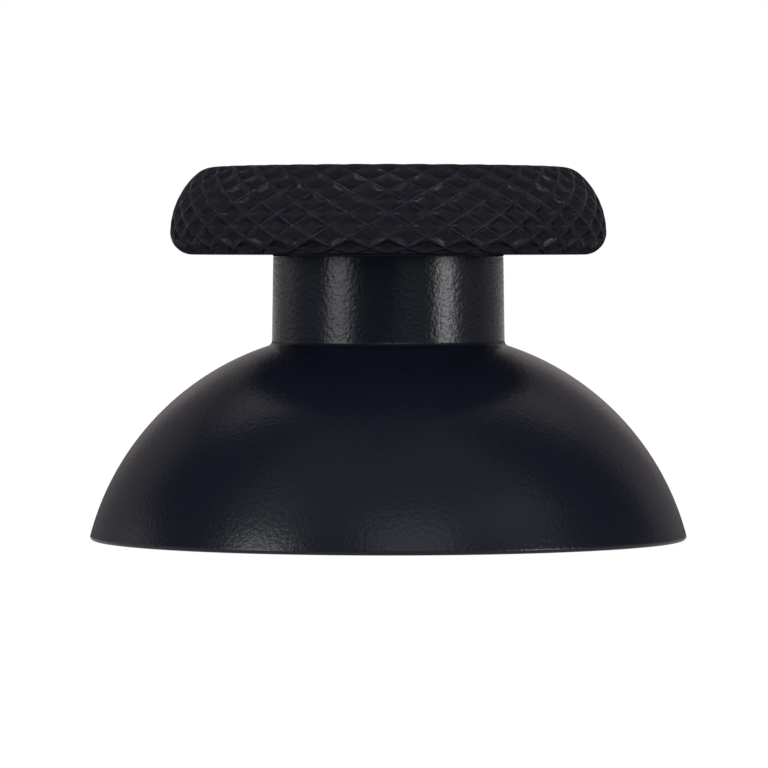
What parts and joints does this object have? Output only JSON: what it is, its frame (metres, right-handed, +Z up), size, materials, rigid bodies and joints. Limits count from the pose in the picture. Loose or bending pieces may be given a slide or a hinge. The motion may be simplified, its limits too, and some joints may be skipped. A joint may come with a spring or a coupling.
{
  "type": "thumbstick cap",
  "caption": "Mushroom-shaped thumbstick cap: soft knurled grip with a thumb dish on a hard stem and dome skirt, with a double-D shaft socket inside.",
  "frame": {"origin": "centre of the circle that the dome's rim stands on", "axes": "+Z up the stem, from the rim to the thumb dish; the flats of the shaft socket face +Y and -Y"},
  "size_m": [0.026, 0.026, 0.0162],
  "materials": {
    "body_plastic": "satin",
    "grip_rubber": "matte"
  },
  "bodies": {
    "root": {"cap_body": "body_plastic", "thumb_grip": "grip_rubber"}
  },
  "joints": []
}
